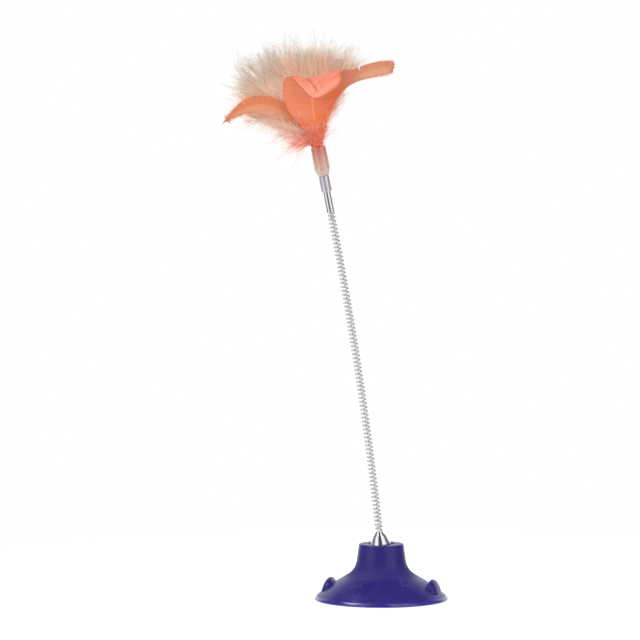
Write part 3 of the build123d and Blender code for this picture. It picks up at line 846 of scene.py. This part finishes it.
def barbules(barbs, per_barb, length, rng):
    """Short hairs all round every barb."""
    count, steps = barbs.shape[0], barbs.shape[1] - 1
    place = rng.uniform(0.1, 0.98, (count, per_barb)) * steps
    i = np.minimum(place.astype(int), steps - 1)
    t = (place - i)[..., None]
    rows = np.arange(count)[:, None]
    start = barbs[rows, i] * (1 - t) + barbs[rows, i + 1] * t
    ahead = unit(barbs[rows, i + 1] - barbs[rows, i])
    out = unit(rng.normal(0, 1, start.shape))
    out = unit(out - ahead * np.sum(out * ahead, -1, keepdims=True))
    size = length * rng.uniform(0.4, 1.0, place.shape)[..., None] * (1.15 - place[..., None] / steps)
    middle = start + (ahead * 0.6 + out * 0.6) * size * 0.5
    end = middle + (ahead * 0.75 + out * 0.35) * size * 0.5
    return np.stack([start, middle, end], 2).reshape(-1, 3, 3)


# %% Down material
def down_material(name, shades):
    """Colour by the way from the tube's mouth: orange at the root, then peach, and grey beige at the rim.
    Towards the right it turns pale sooner. Down lets light through, and a faint glow of its own colour
    stands for that light."""
    material, recipe = new_material(name, Roughness=0.8, Emission_Strength=0.045)
    centred = recipe.node("ShaderNodeMapping", {"vector_type": "POINT"},
                          {"Vector": object_place(recipe), "Location": tuple(-mouth)})
    away = recipe.node("ShaderNodeVectorMath", {"operation": "LENGTH"}, {0: centred}, 1)
    beside = axis_of(recipe, centred, "X")
    uneven = recipe.noise(centred, 70.0, 2.0) * 0.03 - 0.015
    paler_right = beside.math("MAXIMUM", beside, 0.0) * 0.35
    stops, ramps_per_metre = [(mark, paint(*shade)[:3]) for mark, shade in shades], 10.0
    share = (away + uneven + paler_right) * ramps_per_metre
    colour = recipe.node("ShaderNodeValToRGB", {"stops": stops}, {0: share})
    recipe.feed(recipe.shader.inputs["Base Color"], colour)
    recipe.feed(recipe.shader.inputs["Emission Color"], colour)
    return material


# %% A fan of shafts
def fan(shafts, number, rng, beyond=0.3):
    """More shafts between the given ones and a little beyond the outer two, each of its own length."""
    shafts = np.array(shafts, float)
    made = []
    for mark in np.linspace(-beyond, len(shafts) - 1 + beyond, number):
        i = min(max(int(mark), 0), len(shafts) - 2)
        shaft = shafts[i] + (shafts[i + 1] - shafts[i]) * (mark - i)
        steps = np.diff(shaft, axis=0)
        steps[-1] *= rng.uniform(0.4, 1.1)
        made.append(shaft[0] + np.concatenate([[[0, 0, 0]], np.cumsum(steps, axis=0)]))
    return made


# %% Plumes
plume_down = down_material("plume_down", (
    (0.0, (244, 126, 94)), (0.14, (246, 160, 128)), (0.34, (247, 203, 176)), (0.5, (247, 214, 190)),
    (0.6, (246, 216, 194)), (0.67, (240, 220, 202)), (0.74, (228, 214, 198)), (0.8, (204, 188, 172)),
    (0.9, (172, 148, 130))))
plumes = {
    "plume_left": [
        [(-1.9, 1.9, 0), (-13, 4, 11), (-26, 9, 22), (-39, 13, 31)],
        [(-1.9, 1.9, 0), (-12, 5, 14), (-25, 11, 28), (-39, 16, 40)],
        [(-1.9, 1.9, 0), (-11, 7, 17), (-25, 15, 35), (-40, 21, 50)],
    ],
    "plume_upper_left": [
        [(0, 2.7, 0), (-9, 9, 17), (-22, 19, 38), (-36, 26, 57)],
        [(0, 2.7, 0), (-5, 10, 19), (-13, 22, 42), (-23, 30, 61)],
        [(0, 2.7, 0), (-3, 8, 18), (-8, 16, 41), (-15, 24, 62)],
    ],
    "plume_centre": [
        [(1.9, 1.9, 0), (0, 8, 20), (-3, 16, 43), (-7, 22, 62)],
        [(1.9, 1.9, 0), (2, 8, 20), (3, 17, 44), (3, 24, 61)],
        [(1.9, 1.9, 0), (4, 7, 19), (8, 15, 41), (12, 21, 58)],
    ],
    "plume_upper_right": [
        [(2.7, 0, 0), (7, 6, 17), (13, 14, 37), (18, 20, 56)],
        [(2.7, 0, 0), (9, 6, 17), (19, 14, 36), (28, 20, 51)],
        [(2.7, 0, 0), (9, 4, 15), (18, 10, 31), (30, 15, 46)],
    ],
}
for seed, (node, shafts) in enumerate(plumes.items()):
    rng = np.random.default_rng(seed)
    low = 0.4 if node == "plume_upper_right" else 0.1
    stems = fan(shafts, 16, rng)
    core = all_barbs(stems, rng, count=230, length=16.0, opening=0.55, clump=0.06, flat=0.9, first=low)
    rim = all_barbs(stems, rng, count=36, length=32.0, opening=0.8, clump=0.94, flat=0.9, first=0.8,
                    waver=0.4, group=9)
    hairs = barbules(rim, 5, 2.0, rng)
    thick = np.array([smooth_line(shaft, 12) for shaft in shafts])
    mesh = ribbons(node, [(core, 0.3, True), (rim, 0.3, True), (hairs, 0.1, False), (thick, 0.6, True)])
    add_piece(f"{node}_down", mesh, plume_down, "head", [node])

# %% Lower down
lower_down = down_material("lower_down", (
    (0.0, (250, 132, 104)), (0.1, (250, 180, 156)), (0.2, (250, 218, 202)), (0.3, (246, 218, 202)),
    (0.42, (236, 206, 188))))
rng = np.random.default_rng(9)
lower_shafts = [
    [(-1.9, -1.9, 0), (-7, -4, 5), (-14, -6, 9), (-22, -7, 13)],
    [(-1.9, -1.9, 0), (-7, -3, 8), (-17, -5, 17), (-30, -6, 24)],
    [(-1.9, -1.9, 0), (-5, -3, 3.5), (-10, -6, 4), (-15, -7, 5)],
    [(-1.9, -1.9, 0), (-10, -3, 12), (-24, -5, 22), (-42, -6, 26)],
]
barbs = all_barbs(lower_shafts, rng, count=160, length=11.0, opening=0.7, clump=0.5, droop=0.35)
wisps = all_barbs(lower_shafts, rng, count=81, length=25.0, opening=0.95, clump=0.94, droop=0.7, flat=0.8,
                  first=0.2, waver=0.4, group=9)
hairs = barbules(barbs, 7, 2.4, rng)
mesh = ribbons("plume_lower", [(barbs, 0.2, True), (wisps, 0.26, True), (hairs, 0.09, False)])
add_piece("plume_lower_down", mesh, lower_down, "head", ["plume_lower"])

# %% [markdown]
# ## Fluff on the vanes
# A real vane is downy at its foot and frays at its rim. The foot fluff hides the mouth of the tube, and the
# fringe breaks the clean edge that the sheets have.

# %% Foot fluff
foot_shafts = [
    [(-0.4, -2.7, -1), (0, -4.8, 4.5), (0.5, -7.2, 9.5), (0.9, -8.6, 14)],
    [(-1.9, -1.9, -1), (-3, -4.5, 4.5), (-4.3, -6.8, 9.5), (-6.2, -8.6, 14)],
    [(1.9, -1.9, -1), (3, -4.2, 4.5), (4.2, -5.8, 9), (6, -7.6, 13.5)],
]
right_side = [(2, -1, 2), (6, -3, 10), (12, -5, 20), (24, -4, 31)]
round_mouth = [(-4.5, -2.5, 0), (-2, -4.6, 1), (2, -4.6, 1), (4, -2.5, 0)]
foot_down = down_material("foot_down", (
    (0.0, (250, 140, 112)), (0.1, (250, 164, 136)), (0.17, (249, 180, 154)), (0.4, (238, 208, 192))))
barbs = all_barbs(fan(foot_shafts, 15, rng), rng, count=32, length=9.0, opening=0.7, clump=0.5, flat=1.3,
                  first=0.02, waver=0.5)
wisps = plume_barbs(right_side, rng, count=190, length=18.0, opening=1.0, clump=0.7, flat=0.9, first=0.02,
                    waver=0.45)
collar = plume_barbs(round_mouth, rng, count=60, length=4.0, opening=1.3, clump=0.6, droop=1.2, flat=1.4,
                     first=0.0, waver=0.4)
barbs = np.concatenate([barbs, collar])
hairs = barbules(barbs, 7, 2.2, rng)
mesh = ribbons("foot", [(barbs, 0.16, True), (wisps, 0.2, True), (hairs, 0.08, False)])
add_piece("vane_foot_fluff", mesh, foot_down, "head", [])


# %% Fringe
def fringe(table, count, length, rng, tip_growth=0.0, end=False):
    """Loose barb ends along both edges of a sheet, longer towards its tip, and past its end if asked."""
    overlap = 1.2
    edges = [(table[:, 0], table[:, 2], count), (table[:, -1], table[:, -3], count)]
    if end:
        edges.append((table[-1], table[-6], count // 4))
    lines = []
    for outer, inner, number in edges:
        outer_line, inner_line = smooth_line(outer, number), smooth_line(inner, number)
        way = unit(outer_line - inner_line)
        growth = 1 + tip_growth * np.linspace(0, 1, number)[:, None] ** 5
        size = length * growth * rng.uniform(0.2, 1.0, (number, 1))
        start = outer_line - way * overlap
        bend = rng.normal(0, 0.3, (number, 3))
        lines.append(np.stack([start, start + way * (overlap + size * 0.5) + bend * size * 0.2,
                               start + way * (overlap + size) + bend * size], 1))
    return np.concatenate(lines)


for name, table, length, growth, shade, slot in (
    ("front_feather_fringe", front_table[8:], 0.7, 0.0, (244, 150, 116), "front_feather"),
    ("left_feather_fringe", left_table, 1.4, 1.8, (236, 156, 116), "side_feather"),
    ("right_feather_fringe", right_table, 1.0, 1.6, (234, 164, 134), "side_feather"),
):
    lines = fringe(table, 420, length, rng, growth, slot == "side_feather")
    tone = new_material(name, Base_Color=paint(*shade), Roughness=0.7)[0]
    add_piece(name, ribbons(name, [(lines, 0.22, True)]), tone, "head", [])
